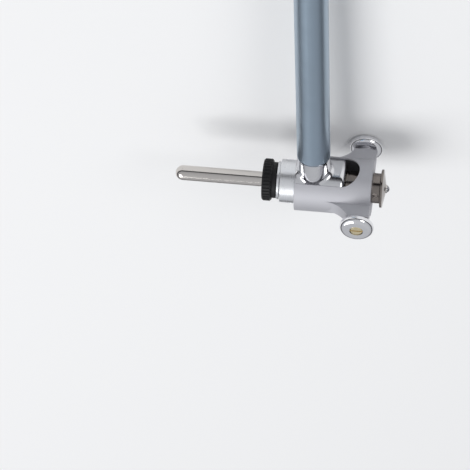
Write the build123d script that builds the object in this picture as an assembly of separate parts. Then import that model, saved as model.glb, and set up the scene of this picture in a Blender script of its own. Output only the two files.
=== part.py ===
from build123d import *
import math
import os

# Dial bore gauge: a sliding contact and a fixed anvil measure across a bore, a bell crank and
# a push rod carry the reading up the tube, and a digital indicator shows it.
# Every piece is drawn in the gauge's upright frame, in millimetres: X is the measuring axis with
# the moving contact at +X, Z runs up the tube, the display faces -Y, and the origin is where the
# tube's axis meets the measuring axis. The last section lays the finished gauge on its back.

# Driving dimensions
# fits
RUN = 0.04                 # radial play of a running shaft
SEAT = 0.02                # radial play of a fixed seat
GAP = 0.05                 # play between faces that nearly touch

# tube, handle and holder
TUBE_R = 6.0
TUBE_WALL = 1.0
TUBE_START = 18.2          # the joint between neck and tube
JOINT_GROOVE = 0.35        # width and depth of the groove at that joint
TUBE_TOP = 261.0
SPIGOT_LENGTH = 9.0
HANDLE_R = 9.25
HANDLE_START = 148.0
HANDLE_END = 250.0
HANDLE_CHAMFER = 1.6
LOW_GROOVE = 8.0           # handle's ends to its two grooves
HIGH_GROOVE = 10.0
HOLDER_R = 6.3
HOLDER_HEIGHT = 8.8
HOLDER_SPLIT = 1.0

# measuring head
BARREL_R = 9.5
BARREL_LEFT = -6.4
BARREL_RIGHT = 11.6
BARREL_ROUND = 1.8
NECK_FILLET = 1.8
COLLAR_R = 7.9
COLLAR_LENGTH = 5.8
WASHER_R = 6.9
WASHER_THICK = 1.1
NUT_R = 7.65
NUT_STEP_R = 6.55
NUT_WIDE = 3.4
NUT_STEP = 1.8
NUT_FLUTES = 36
FLUTE_R = 0.3
ROD_R = 2.75
ANVIL_REACH = 50.5         # tube axis to the anvil's tip
ANVIL_SPIGOT_R = 5.0
ANVIL_SPIGOT_LENGTH = 3.9

# centring bridge and wheels
SLEEVE_R = 10.25
SLOT_HALF_WIDTH = 6.6
SLOT_END = 16.6
HUB_FACE = 16.9            # inner face of the bridge's closed end
BRIDGE_RIGHT = 21.2
BRIDGE_TRAVEL = 4.0
ARM_THICK = 5.6
ARM_WIDTH = 7.9
ARM_REACH = 15.2
ARM_GUSSET = 10.4
GUSSET_FOOT = 1.6          # how much of the gusset's round is cut off at the sleeve
WHEEL_BOSS = 0.75          # the boss that keeps a wheel clear of its arm
WHEEL_R = 6.2
WHEEL_RIM_R = 1.9          # half a wheel's thickness, rounded all round
WHEEL_BORE_R = 1.55
WHEEL_SINK_R = 2.5
WHEEL_SINK_DEPTH = 1.2
SCREW_HEAD_R = 2.35
SCREW_HEAD_THICK = 1.0
SCREW_SHOULDER_R = 1.5
SCREW_THREAD_R = 1.2
SCREW_THREAD_LENGTH = 4.5
BRIDGE_SPRING_R = 1.3
BRIDGE_SPRING_WIRE = 0.2
BRIDGE_SPRING_PITCH_R = 7.0
BRIDGE_SPRING_ANGLE = 35.0
BRIDGE_SPRING_SEAT = 3.0
BRIDGE_SPRING_TURNS = 6
STOP_X = -4.0
STOP_R = 1.2
STOP_THREAD_R = 0.9

# moving contact and its guide
GUIDE_R = 5.5
GUIDE_END = 24.2
GUIDE_SPIGOT_R = 4.5
GUIDE_SPIGOT_START = 7.9
GUIDE_GROOVE = 0.35
PLUNGER_R = 2.5
PLUNGER_SHOULDER = 20.9
NOSE_R = 1.6
NOSE_END = 26.5
BALL_R = 1.3
CONTACT_REACH = 27.4       # tube axis to the ball's tip
PIP_R = 0.9                # the plunger's narrow inner end, which meets the bell crank
PIP_END = 7.6
CAP_FLANGE_R = 7.0
CAP_FLANGE_THICK = 0.9
CAP_CONE_END = 25.95
CAP_CONE_R = 2.3
CAP_SPIGOT_R = 4.0
CAP_SPIGOT_LENGTH = 3.2

# bell crank and push rod
CRANK_ARM = 4.5            # pivot to each tip, so the rod moves as far as the contact
CRANK_TIP_R = 1.2
CRANK_ARM_HALF = 0.8       # half the width of an arm between hub and tip
CRANK_HUB_R = 2.1
CRANK_THICK = 4.0
PIN_R = 1.0
PIN_LENGTH = 15.0
PUSH_ROD_R = 1.5
ROD_TOP = 243.0
ROD_HEAD_R = 2.6
ROD_HEAD_THICK = 2.0
ROD_BORE_R = 2.5
LOWER_GUIDE_LENGTH = 6.0
UPPER_GUIDE_Z = 215.0
UPPER_GUIDE_LENGTH = 8.0
ROD_SPRING_R = 2.6
ROD_SPRING_WIRE = 0.25
ROD_SPRING_TURNS = 5
ROD_COLLAR_Z = 196.0
ROD_COLLAR_LENGTH = 3.0

# clamp screw, turned towards the front left
CLAMP_ANGLE = 37.0
CLAMP_FLAT = 5.15
CLAMP_SCREW_R = 2.0
CLAMP_SCREW_LENGTH = 9.0   # inside the knob
CLAMP_RISE = 3.9           # above the tube's top
KNOB_HUB_R = 3.6
KNOB_HUB_END = 16.0
KNOB_R = 6.6
KNOB_THICK = 4.6
KNOB_EDGE = 1.0
KNOB_DOME = 3.6

# indicator, depths measured from the stem's axis, front negative
BEZEL_R = 29.0
BEZEL_GAP = 1.8            # holder's top to the lowest point of the bezel, clear of the knob
FACE_DEPTH = 16.4
BEZEL_DEPTH = 9.4
BEZEL_WALL = 2.0
LIP_WIDTH = 2.4
LIP_HEIGHT = 0.7
FRONT_WALL = 1.8
SHELL_STEP = 1.0           # how far the bezel stands out over the shell
SHELL_WALL = 1.6
BACK_DEPTH = 7.0
COVER_STEP = 3.5           # shell's edge to the back cover's
COVER_THICK = 1.4
COVER_PROUD = 0.4
COVER_SCREW_EDGE = 3.0     # cover's edge to its screws
PLATE_THICK = 0.5
PLATE_EDGE = 1.5           # the plate's margin beside and below the window
WINDOW_RIM = 8.5           # bezel's edge to the window's side, level with the middle
WINDOW_HEIGHT = 19.4
WINDOW_THICK = 1.3
GRIP_GROOVES = 9
GRIP_PITCH = 6.2           # degrees
BUTTON_RIM = 4.6           # bezel's edge to the round edge of the outer buttons
BUTTON_HEIGHT = 9.4
BUTTON_TO_PLATE = 3.4
BUTTON_TRAVEL = 0.5
BUTTON_HALF_WIDTH = 4.0
POWER_HEIGHT = 9.2
SIDE_BUTTON_INNER = 5.4
SIDE_BUTTON_OUTER = 16.6
BUTTON_CLEARANCE = 0.15
BUTTON_FLANGE = 0.5
BUTTON_PROUD = 0.25
BOARD_BEHIND = 2.9         # back of the front wall to the board
BOARD_THICK = 1.2
BATTERY_R = 9.6
BATTERY_THICK = 3.0
BATTERY_EDGE = 15.0        # shell's edge to the battery's middle
BATTERY_HEIGHT = -7.0      # from the dial's centre
PORT_LOW = 39.0            # degrees above the horizontal, on the right
PORT_HIGH = 62.0
PORT_DEPTH = 1.2
STEM_R = 4.0
STEM_BOTTOM = 255.0
BOSS_R = 5.0
BOSS_SEAT = 0.5            # how deep the ring and the bush sit in the shell
STEM_SEAT = 4.5            # how far the stem and the bush reach into the shell
RING_GAP = 0.25            # holder's top to the ring
SPINDLE_R = 2.0
SPINDLE_BOTTOM = 250.3
SPINDLE_ABOVE = 33.0       # dial centre to the spindle's top
SPINDLE_SPRING_R = 3.0
SPINDLE_SPRING_WIRE = 0.25
SPINDLE_SPRING_TURNS = 5
SLIDER_WIDTH = 10.0
SLIDER_HALF = 4.0
SLIDER_DEPTH = 3.4
STRIP_WIDTH = 8.0
STRIP_HALF = 15.0
STRIP_THICK = 0.8
CAP_R = 5.55
CAP_LENGTH = 22.0
CAP_WALL = 1.4
BUSH_PROUD = 1.4           # the top bush above the shell, which the cap stands on

# worked out from the sizes above
TUBE_BORE_R = TUBE_R - TUBE_WALL
HOLDER_TOP = TUBE_TOP + HOLDER_HEIGHT
CLAMP_Z = TUBE_TOP + CLAMP_RISE
DIAL_Z = HOLDER_TOP + BEZEL_GAP + BEZEL_R
SHELL_R = BEZEL_R - SHELL_STEP
COVER_R = SHELL_R - COVER_STEP
COVER_SCREW_PITCH_R = COVER_R - COVER_SCREW_EDGE
BUTTON_ARC_R = BEZEL_R - BUTTON_RIM
BUTTON_TOP = BUTTON_HEIGHT - BUTTON_ARC_R
PLATE_BOTTOM = BUTTON_TOP + BUTTON_TO_PLATE
WINDOW_WIDTH = 2 * (BEZEL_R - WINDOW_RIM)
WINDOW_MIDDLE = PLATE_BOTTOM + PLATE_EDGE + WINDOW_HEIGHT / 2
PLATE_HALF_WIDTH = WINDOW_WIDTH / 2 + PLATE_EDGE
BATTERY_X = BATTERY_EDGE - SHELL_R
WHEEL_OFFSET = ARM_REACH + WHEEL_BOSS + GAP + WHEEL_RIM_R
FACE_Y = -FACE_DEPTH + LIP_HEIGHT
WALL_BACK_Y = FACE_Y + FRONT_WALL
BEZEL_BACK_Y = -FACE_DEPTH + BEZEL_DEPTH
ARM_MIDDLE = BRIDGE_RIGHT - ARM_WIDTH / 2
COLLAR_LEFT = BARREL_LEFT - COLLAR_LENGTH
WASHER_LEFT = COLLAR_LEFT - WASHER_THICK
NUT_MIDDLE = WASHER_LEFT - NUT_STEP
NUT_LEFT = NUT_MIDDLE - NUT_WIDE
ROD_BOTTOM = CRANK_ARM + CRANK_TIP_R + GAP
PLUNGER_START = CRANK_ARM + CRANK_TIP_R + GAP


# Helpers
def along_x(radius, start, end, y=0.0, z=0.0):
    return Pos((start + end) / 2, y, z) * Rot(0, 90, 0) * Cylinder(radius, abs(end - start))


def along_y(radius, start, end, x=0.0, z=0.0):
    return Pos(x, (start + end) / 2, z) * Rot(90, 0, 0) * Cylinder(radius, abs(end - start))


def along_z(radius, start, end, x=0.0, y=0.0):
    return Pos(x, y, (start + end) / 2) * Cylinder(radius, abs(end - start))


def block(x0, x1, y0, y1, z0, z1):
    return Pos((x0 + x1) / 2, (y0 + y1) / 2, (z0 + z1) / 2) * Box(x1 - x0, y1 - y0, z1 - z0)


def turned_x(points):
    """Turns a closed outline of (x, radius) points about the measuring axis."""
    face = make_face(Polyline(*[(x, r, 0) for x, r in points], close=True))
    return revolve(face, axis=Axis.X)


def turned_z(points):
    """Turns a closed outline of (radius, z) points about the tube's axis."""
    face = make_face(Polyline(*[(r, 0, z) for r, z in points], close=True))
    return revolve(face, axis=Axis.Z)


def turned_y(points, x=0.0, z=0.0):
    """Turns a closed outline of (radius, y) points about a front-to-back axis."""
    face = make_face(Polyline(*[(r, y, 0) for r, y in points], close=True))
    return Pos(x, 0, z) * revolve(face, axis=Axis.Y)


def coil(radius, wire, length, turns):
    """A square-wire spring that stands on the XY plane."""
    path = Helix(pitch=length / turns, height=length, radius=radius)
    section = Plane(origin=path @ 0, z_dir=path % 0) * Rectangle(2 * wire, 2 * wire)
    return sweep(section, path=path, is_frenet=True)


def front_slab(sketch, front, back):
    """Extrudes a face drawn in (x, height above the dial's centre) from one depth to another."""
    plane = Plane(origin=(0, back, DIAL_Z), x_dir=(1, 0, 0), z_dir=(0, -1, 0))
    return extrude(plane * sketch, amount=back - front)


# Measuring head
def head_body():
    barrel = along_x(BARREL_R, BARREL_LEFT, BARREL_RIGHT)
    barrel = fillet(barrel.edges().filter_by(GeomType.CIRCLE).sort_by(Axis.X)[-1], BARREL_ROUND)
    neck = along_z(TUBE_R, 0, TUBE_START - JOINT_GROOVE)
    body = barrel + neck
    body = fillet(body.edges().filter_by(GeomType.BSPLINE), NECK_FILLET)
    body += along_z(TUBE_R - JOINT_GROOVE, TUBE_START - JOINT_GROOVE, TUBE_START)
    body += along_z(TUBE_BORE_R - SEAT, TUBE_START, TUBE_START + SPIGOT_LENGTH)
    low = CRANK_TIP_R + 0.4
    cavity = block(-CRANK_TIP_R - 0.4, CRANK_ARM + CRANK_HUB_R + 0.5, -CRANK_THICK / 2 - 0.2,
                   CRANK_THICK / 2 + 0.2, -BARREL_R - 2, CRANK_ARM + CRANK_HUB_R + 1.0)
    body -= cavity
    body -= along_z(ROD_BORE_R, low, TUBE_START + SPIGOT_LENGTH + 1)
    body -= along_x(GUIDE_SPIGOT_R + SEAT, GUIDE_SPIGOT_START, BARREL_RIGHT + 1)
    body -= along_x(PLUNGER_R + 0.3, CRANK_ARM, GUIDE_SPIGOT_START + 1)
    body -= along_x(ANVIL_SPIGOT_R + SEAT, BARREL_LEFT - 1, BARREL_LEFT + ANVIL_SPIGOT_LENGTH)
    body -= along_y(PIN_R + SEAT, -BARREL_R - 1, BARREL_R + 1, x=CRANK_ARM, z=CRANK_ARM)
    body -= along_z(STOP_THREAD_R + SEAT, -BARREL_R - 1, -ANVIL_SPIGOT_R - 1.0, x=STOP_X)
    for y, z in spring_seats():
        body -= along_x(BRIDGE_SPRING_R + BRIDGE_SPRING_WIRE + 0.1, BRIDGE_SPRING_SEAT,
                        BARREL_RIGHT + 1, y, z)
    return body


def spring_seats():
    for side in (-1, 1):
        angle = math.radians(-90 + side * BRIDGE_SPRING_ANGLE)
        yield BRIDGE_SPRING_PITCH_R * math.cos(angle), BRIDGE_SPRING_PITCH_R * math.sin(angle)


def anvil_collar():
    collar = turned_x([(COLLAR_LEFT, 0), (COLLAR_LEFT, COLLAR_R - 0.3), (COLLAR_LEFT + 0.3, COLLAR_R),
                       (BARREL_LEFT - 0.3, COLLAR_R), (BARREL_LEFT, COLLAR_R - 0.3),
                       (BARREL_LEFT, ANVIL_SPIGOT_R), (BARREL_LEFT + ANVIL_SPIGOT_LENGTH - GAP,
                       ANVIL_SPIGOT_R), (BARREL_LEFT + ANVIL_SPIGOT_LENGTH - GAP, 0)])
    return collar - along_x(ROD_R + SEAT, COLLAR_LEFT - 1, BARREL_LEFT + ANVIL_SPIGOT_LENGTH)


def anvil_washer():
    ring = turned_x([(WASHER_LEFT, 0), (WASHER_LEFT, WASHER_R - 0.2), (WASHER_LEFT + 0.2, WASHER_R),
                     (COLLAR_LEFT - 0.2, WASHER_R), (COLLAR_LEFT, WASHER_R - 0.2), (COLLAR_LEFT, 0)])
    return ring - along_x(ROD_R + SEAT, WASHER_LEFT - 1, COLLAR_LEFT + 1)


def anvil_lock_nut():
    edge = 0.5
    nut = turned_x([(NUT_LEFT, 0), (NUT_LEFT, NUT_R - edge), (NUT_LEFT + edge, NUT_R),
                    (NUT_MIDDLE - edge, NUT_R), (NUT_MIDDLE, NUT_R - edge), (NUT_MIDDLE, NUT_STEP_R),
                    (WASHER_LEFT - 0.3, NUT_STEP_R), (WASHER_LEFT, NUT_STEP_R - 0.3),
                    (WASHER_LEFT, 0)])
    for k in range(NUT_FLUTES):
        angle = 2 * math.pi * k / NUT_FLUTES
        nut -= along_x(FLUTE_R, NUT_LEFT - 0.5, NUT_MIDDLE + 0.01,
                       NUT_R * math.cos(angle), NUT_R * math.sin(angle))
    return nut - along_x(ROD_R + RUN, NUT_LEFT - 1, WASHER_LEFT + 1)


def anvil_rod():
    end = BARREL_LEFT + ANVIL_SPIGOT_LENGTH - 0.5
    rod = along_x(ROD_R, -ANVIL_REACH + ROD_R, end)
    return rod + Pos(-ANVIL_REACH + ROD_R, 0, 0) * Sphere(ROD_R)


# Centring bridge and its wheels
def arm_plan():
    """The arms seen from above: a crossbar with a round inside corner each side of the sleeve."""
    corner_x = ARM_MIDDLE - ARM_WIDTH / 2
    root_y = math.sqrt(SLEEVE_R ** 2 - (ARM_THICK / 2) ** 2)
    centre_y = root_y + ARM_GUSSET
    rise = centre_y - math.sqrt(ARM_GUSSET ** 2 - (ARM_GUSSET - GUSSET_FOOT) ** 2)
    centre_x = corner_x - (ARM_GUSSET - GUSSET_FOOT)
    middle = math.radians(-90 + 35)
    arc_mid = (centre_x + ARM_GUSSET * math.cos(middle), centre_y + ARM_GUSSET * math.sin(middle))
    upper = [(centre_x, root_y), arc_mid, (corner_x, rise)]
    lower = [(x, -y) for x, y in upper]
    outline = (ThreePointArc(*upper) + Line(upper[2], (corner_x, ARM_REACH))
               + Line((corner_x, ARM_REACH), (BRIDGE_RIGHT, ARM_REACH))
               + Line((BRIDGE_RIGHT, ARM_REACH), (BRIDGE_RIGHT, -ARM_REACH))
               + Line((BRIDGE_RIGHT, -ARM_REACH), (corner_x, -ARM_REACH))
               + Line((corner_x, -ARM_REACH), lower[2]) + ThreePointArc(*lower[::-1])
               + Line(lower[0], upper[0]))
    return make_face(outline)


def centering_bridge():
    bridge = along_x(SLEEVE_R, BARREL_LEFT, BRIDGE_RIGHT)
    bridge += extrude(Plane.XY.offset(-ARM_THICK / 2) * arm_plan(), amount=ARM_THICK)
    for side in (-1, 1):
        bridge += along_y(WHEEL_SINK_R + 0.2, side * (ARM_REACH - 1), side * boss_face(), x=ARM_MIDDLE)
    bridge -= along_x(BARREL_R + RUN, BARREL_LEFT - 1, HUB_FACE)
    bridge -= along_x(GUIDE_R + RUN, HUB_FACE - 1, BRIDGE_RIGHT + 1)
    slot_r = SLOT_HALF_WIDTH
    slot = block(BARREL_LEFT - 1, SLOT_END - slot_r, -slot_r, slot_r, 0, SLEEVE_R + 1)
    bridge -= slot + along_z(slot_r, 0, SLEEVE_R + 1, x=SLOT_END - slot_r)
    lower_slot = block(STOP_X, STOP_X + BRIDGE_TRAVEL, -STOP_R - RUN, STOP_R + RUN,
                       -SLEEVE_R - 1, -BARREL_R + 1)
    for x in (STOP_X, STOP_X + BRIDGE_TRAVEL):
        lower_slot += along_z(STOP_R + RUN, -SLEEVE_R - 1, -BARREL_R + 1, x=x)
    bridge -= lower_slot
    for side in (-1, 1):
        depth = ARM_REACH - SCREW_THREAD_LENGTH
        bridge -= along_y(SCREW_THREAD_R + SEAT, side * depth, side * (boss_face() + 1), x=ARM_MIDDLE)
    return bridge


def boss_face():
    return ARM_REACH + WHEEL_BOSS


def wheel(side):
    flat_r = WHEEL_R - WHEEL_RIM_R
    disc = along_y(flat_r, -WHEEL_RIM_R, WHEEL_RIM_R)
    rim = Rot(90, 0, 0) * Torus(flat_r, WHEEL_RIM_R)
    outer = side * WHEEL_RIM_R
    disc = disc + rim
    disc -= along_y(WHEEL_BORE_R, -WHEEL_RIM_R - 1, WHEEL_RIM_R + 1)
    disc -= along_y(WHEEL_SINK_R, outer - side * WHEEL_SINK_DEPTH, outer + side)
    return Pos(ARM_MIDDLE, side * WHEEL_OFFSET, 0) * disc


def wheel_screw(side):
    outer = WHEEL_OFFSET + WHEEL_RIM_R
    head_top = outer - 0.1
    head_low = head_top - SCREW_HEAD_THICK
    points = [(0, ARM_REACH - SCREW_THREAD_LENGTH + GAP), (SCREW_THREAD_R, ARM_REACH
              - SCREW_THREAD_LENGTH + GAP), (SCREW_THREAD_R, boss_face()),
              (SCREW_SHOULDER_R, boss_face()), (SCREW_SHOULDER_R, head_low),
              (SCREW_HEAD_R, head_low), (SCREW_HEAD_R, head_top - 0.3),
              (SCREW_HEAD_R - 0.3, head_top), (0, head_top)]
    screw = turned_y(points)
    screw -= Pos(0, head_top, 0) * Box(2 * SCREW_HEAD_R + 1, 1.0, 0.5)
    if side < 0:
        screw = mirror(screw, about=Plane.XZ)
    return Pos(ARM_MIDDLE, 0, 0) * screw


def bridge_springs():
    length = HUB_FACE - BRIDGE_SPRING_SEAT - 2 * GAP - 2 * BRIDGE_SPRING_WIRE
    springs = []
    for y, z in spring_seats():
        start = BRIDGE_SPRING_SEAT + GAP + BRIDGE_SPRING_WIRE
        springs.append(Pos(start, y, z) * Rot(0, 90, 0)
                       * coil(BRIDGE_SPRING_R, BRIDGE_SPRING_WIRE, length, BRIDGE_SPRING_TURNS))
    return Compound(children=[s.solid() for s in springs])


def bridge_stop_screw():
    head = along_z(STOP_R, -SLEEVE_R + 0.1, -BARREL_R, x=STOP_X)
    screw = head + along_z(STOP_THREAD_R, -BARREL_R, -ANVIL_SPIGOT_R - 1.2, x=STOP_X)
    return screw - Pos(STOP_X, 0, -SLEEVE_R + 0.1) * Box(3 * STOP_R, 0.4, 0.5)


# Moving contact
def contact_guide():
    groove_at = BARREL_RIGHT + 0.8
    guide = turned_x([(GUIDE_SPIGOT_START + GAP, 0), (GUIDE_SPIGOT_START + GAP, GUIDE_SPIGOT_R),
                      (BARREL_RIGHT, GUIDE_SPIGOT_R), (BARREL_RIGHT, GUIDE_R - 0.15),
                      (BARREL_RIGHT + 0.15, GUIDE_R), (groove_at, GUIDE_R),
                      (groove_at, GUIDE_R - GUIDE_GROOVE), (groove_at + 0.6, GUIDE_R - GUIDE_GROOVE),
                      (groove_at + 0.6, GUIDE_R), (GUIDE_END - 0.2, GUIDE_R),
                      (GUIDE_END, GUIDE_R - 0.2), (GUIDE_END, 0)])
    guide -= along_x(PLUNGER_R + RUN, GUIDE_SPIGOT_START - 1, GUIDE_END + 1)
    return guide - along_x(CAP_SPIGOT_R + SEAT, GUIDE_END - CAP_SPIGOT_LENGTH - GAP, GUIDE_END + 1)


def contact_cap_nut():
    flange_end = GUIDE_END + CAP_FLANGE_THICK
    nut = turned_x([(GUIDE_END - CAP_SPIGOT_LENGTH, 0), (GUIDE_END - CAP_SPIGOT_LENGTH, CAP_SPIGOT_R),
                    (GUIDE_END, CAP_SPIGOT_R), (GUIDE_END, CAP_FLANGE_R - 0.15),
                    (GUIDE_END + 0.15, CAP_FLANGE_R), (flange_end - 0.2, CAP_FLANGE_R),
                    (flange_end, CAP_FLANGE_R - 0.3), (CAP_CONE_END, CAP_CONE_R), (CAP_CONE_END, 0)])
    return nut - along_x(NOSE_R + RUN, 0, CONTACT_REACH)


def contact_plunger():
    plunger = turned_x([(PLUNGER_START, 0), (PLUNGER_START, PIP_R - 0.2),
                        (PLUNGER_START + 0.2, PIP_R), (PIP_END, PIP_R),
                        (PIP_END, PLUNGER_R), (PLUNGER_SHOULDER, PLUNGER_R),
                        (PLUNGER_SHOULDER, NOSE_R), (NOSE_END - 0.3, NOSE_R),
                        (NOSE_END, NOSE_R - 0.15), (NOSE_END, 0)])
    return plunger - along_x(BALL_R + SEAT, CONTACT_REACH - 2 * BALL_R - SEAT, CONTACT_REACH)


def contact_ball():
    return Pos(CONTACT_REACH - BALL_R, 0, 0) * Sphere(BALL_R)


# Bell crank, push rod and their guides
def rocker():
    pivot = (CRANK_ARM, CRANK_ARM)
    half = CRANK_THICK / 2
    crank = along_y(CRANK_HUB_R, -half, half, *pivot)
    for tip_x, tip_z in ((CRANK_ARM, 0), (0, CRANK_ARM)):
        crank += along_y(CRANK_TIP_R, -half, half, tip_x, tip_z)
        if tip_z == 0:
            crank += block(CRANK_ARM - CRANK_ARM_HALF, CRANK_ARM + CRANK_ARM_HALF, -half, half,
                           0, CRANK_ARM)
        else:
            crank += block(0, CRANK_ARM, -half, half,
                           CRANK_ARM - CRANK_ARM_HALF, CRANK_ARM + CRANK_ARM_HALF)
    return crank - along_y(PIN_R + RUN, -half - 1, half + 1, *pivot)


def rocker_pin():
    return along_y(PIN_R, -PIN_LENGTH / 2, PIN_LENGTH / 2, CRANK_ARM, CRANK_ARM)


def push_rod():
    rod = along_z(PUSH_ROD_R, ROD_BOTTOM, ROD_TOP)
    rod += along_z(ROD_HEAD_R, ROD_TOP - ROD_HEAD_THICK, ROD_TOP)
    return rod + along_z(ROD_HEAD_R + 0.8, ROD_COLLAR_Z, ROD_COLLAR_Z + ROD_COLLAR_LENGTH)


def rod_guide_lower():
    top = TUBE_START + SPIGOT_LENGTH
    ring = along_z(ROD_BORE_R - SEAT, top - LOWER_GUIDE_LENGTH, top)
    ring += along_z(ROD_BORE_R + 1.2, top, top + 0.8)
    return ring - along_z(PUSH_ROD_R + RUN, top - LOWER_GUIDE_LENGTH - 1, top + 2)


def rod_guide_upper():
    ring = along_z(TUBE_BORE_R - SEAT, UPPER_GUIDE_Z, UPPER_GUIDE_Z + UPPER_GUIDE_LENGTH)
    return ring - along_z(PUSH_ROD_R + RUN, UPPER_GUIDE_Z - 1, UPPER_GUIDE_Z + UPPER_GUIDE_LENGTH + 1)


def rod_spring():
    start = ROD_COLLAR_Z + ROD_COLLAR_LENGTH + GAP + ROD_SPRING_WIRE
    length = UPPER_GUIDE_Z - GAP - ROD_SPRING_WIRE - start
    return Pos(0, 0, start) * coil(ROD_SPRING_R, ROD_SPRING_WIRE, length, ROD_SPRING_TURNS)


# Tube, handle and stem holder
def tube():
    body = along_z(TUBE_R, TUBE_START, TUBE_TOP)
    body = chamfer(body.edges().filter_by(GeomType.CIRCLE).sort_by(Axis.Z)[0], 0.2)
    return body - along_z(TUBE_BORE_R, TUBE_START - 1, TUBE_TOP + 1)


def handle():
    groove = 0.5
    points = [(0, HANDLE_START), (HANDLE_R - HANDLE_CHAMFER, HANDLE_START),
              (HANDLE_R, HANDLE_START + HANDLE_CHAMFER)]
    for z in (HANDLE_START + LOW_GROOVE, HANDLE_END - HIGH_GROOVE):
        points += [(HANDLE_R, z), (HANDLE_R - groove, z + groove), (HANDLE_R - groove, z + 2 - groove),
                   (HANDLE_R, z + 2)]
    points += [(HANDLE_R, HANDLE_END - HANDLE_CHAMFER), (HANDLE_R - HANDLE_CHAMFER, HANDLE_END),
               (0, HANDLE_END)]
    return turned_z(points) - along_z(TUBE_R + SEAT, HANDLE_START - 1, HANDLE_END + 1)


def clamp_direction(solid):
    """Turns a piece drawn along +X to the clamp screw's direction."""
    return Rot(0, 0, -90 - CLAMP_ANGLE) * solid


def stem_holder():
    edge = 0.3
    body = turned_z([(0, TUBE_TOP - SPIGOT_LENGTH), (TUBE_BORE_R - SEAT, TUBE_TOP - SPIGOT_LENGTH),
                     (TUBE_BORE_R - SEAT, TUBE_TOP), (HOLDER_R - edge, TUBE_TOP),
                     (HOLDER_R, TUBE_TOP + edge), (HOLDER_R, HOLDER_TOP - edge),
                     (HOLDER_R - edge, HOLDER_TOP), (0, HOLDER_TOP)])
    body -= along_z(STEM_R + RUN, TUBE_TOP - SPIGOT_LENGTH - 1, HOLDER_TOP + 1)
    body -= clamp_direction(along_x(KNOB_HUB_R + 0.2, CLAMP_FLAT, HOLDER_R + 1, z=CLAMP_Z))
    body -= clamp_direction(along_x(CLAMP_SCREW_R + RUN, 2, HOLDER_R + 1, z=CLAMP_Z))
    return body - clamp_direction(block(-HOLDER_R - 1, -2, -HOLDER_SPLIT / 2, HOLDER_SPLIT / 2,
                                        TUBE_TOP + 1, HOLDER_TOP + 1))


def clamp_screw():
    return clamp_direction(along_x(CLAMP_SCREW_R, STEM_R + 0.1, CLAMP_FLAT + CLAMP_SCREW_LENGTH, z=CLAMP_Z))


def clamp_knob():
    knob_end = KNOB_HUB_END + KNOB_THICK
    knob = turned_x([(CLAMP_FLAT + 0.1, 0), (CLAMP_FLAT + 0.1, KNOB_HUB_R), (KNOB_HUB_END, KNOB_HUB_R),
                     (KNOB_HUB_END, KNOB_R - KNOB_EDGE), (KNOB_HUB_END + KNOB_EDGE, KNOB_R),
                     (knob_end - 1.6 * KNOB_EDGE, KNOB_R), (knob_end - 0.5, KNOB_R - 1.4 * KNOB_EDGE),
                     (knob_end, KNOB_R - KNOB_DOME), (knob_end, 0)])
    knob -= along_x(CLAMP_SCREW_R + SEAT, 0, CLAMP_FLAT + CLAMP_SCREW_LENGTH)
    return clamp_direction(Pos(0, 0, CLAMP_Z) * knob)


# Indicator
def face_shape(grow=0.0):
    """The dome-topped outline that the metal face plate fills."""
    disc = Circle(BEZEL_R - LIP_WIDTH + grow)
    top = BEZEL_R - LIP_WIDTH
    window = Pos(0, (top + PLATE_BOTTOM) / 2) * RectangleRounded(
        2 * (PLATE_HALF_WIDTH + grow), top - PLATE_BOTTOM + 2 * grow, 1.2)
    return disc & window


def window_shape(grow=0.0):
    return Pos(0, WINDOW_MIDDLE) * RectangleRounded(WINDOW_WIDTH + 2 * grow,
                                                    WINDOW_HEIGHT + 2 * grow, 1.0 + grow)


def button_shapes(grow=0.0):
    """Three button outlines: a rectangle between two quarter-round ones."""
    ring = Circle(BUTTON_ARC_R + grow)
    tall = BUTTON_ARC_R + 2
    middle = Pos(0, BUTTON_TOP - POWER_HEIGHT / 2) * RectangleRounded(
        2 * (BUTTON_HALF_WIDTH + grow), POWER_HEIGHT + 2 * grow, 0.7)
    shapes = {"button_power": middle}
    for name, side in (("button_unit", -1), ("button_zero", 1)):
        width = SIDE_BUTTON_OUTER - SIDE_BUTTON_INNER + 2 * grow
        centre = side * (SIDE_BUTTON_INNER + SIDE_BUTTON_OUTER) / 2
        box = Pos(centre, BUTTON_TOP + grow - tall / 2) * Rectangle(width, tall)
        shapes[name] = box & ring
    return shapes


def indicator_bezel():
    edge = 0.8
    ring = turned_y([(0, BEZEL_BACK_Y), (BEZEL_R, BEZEL_BACK_Y), (BEZEL_R, -FACE_DEPTH + edge),
                     (BEZEL_R - edge, -FACE_DEPTH), (0, -FACE_DEPTH)], z=DIAL_Z)
    ring -= along_y(BEZEL_R - LIP_WIDTH, -FACE_DEPTH - 1, FACE_Y, z=DIAL_Z)
    ring -= along_y(BEZEL_R - BEZEL_WALL, WALL_BACK_Y, BEZEL_BACK_Y + 1, z=DIAL_Z)
    ring -= front_slab(face_shape(), FACE_Y - 1, FACE_Y + PLATE_THICK)
    ring -= front_slab(window_shape(SEAT), FACE_Y - 1, WALL_BACK_Y + 1)
    for shape in button_shapes(BUTTON_CLEARANCE).values():
        ring -= front_slab(shape, FACE_Y - 1, WALL_BACK_Y + 1)
    for side in (0, 180):
        for k in range(GRIP_GROOVES):
            angle = math.radians(side + (k - (GRIP_GROOVES - 1) / 2) * GRIP_PITCH)
            ring -= along_y(0.75, -FACE_DEPTH + 1.2, BEZEL_BACK_Y - 0.8,
                            (BEZEL_R + 0.1) * math.cos(angle), DIAL_Z + (BEZEL_R + 0.1) * math.sin(angle))
    return ring - port_pocket(0.1)


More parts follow.
